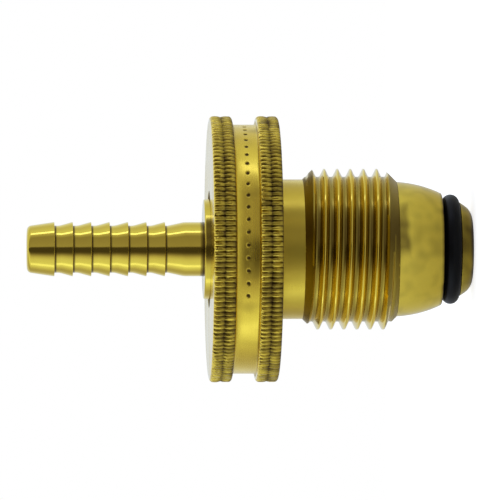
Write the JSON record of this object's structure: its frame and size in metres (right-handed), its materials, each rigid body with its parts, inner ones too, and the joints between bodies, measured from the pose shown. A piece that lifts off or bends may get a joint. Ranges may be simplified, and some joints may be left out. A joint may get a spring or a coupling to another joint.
{
  "type": "hose barb adapter",
  "caption": "Brass gas hose adapter: hose barb and rounded O-ring nose on one nipple, with a swivelling left-hand threaded nut turned by a knurled spool-shaped handwheel.",
  "frame": {"origin": "centre of the nose's flat end, which it stands on", "axes": "+Z along the fitting's axis from the nose towards the hose barb; X and Y are free about the axis, with the pictured side facing -Y"},
  "size_m": [0.0368, 0.0368, 0.0617],
  "materials": {
    "nipple_brass": "turned and bright",
    "nut_brass": "turned and knurled",
    "ring_rubber": "satin"
  },
  "bodies": {
    "nipple": {"barb_nipple": "nipple_brass", "nose_o_ring": "ring_rubber"},
    "handwheel": {"handwheel_nut": "nut_brass"}
  },
  "joints": [
    {"name": "handwheel_swivel", "type": "hinge", "parent": "nipple", "child": "handwheel", "pos_m": [0, 0, 0.0235], "axis": [0, 0, 1], "continuous": true}
  ]
}
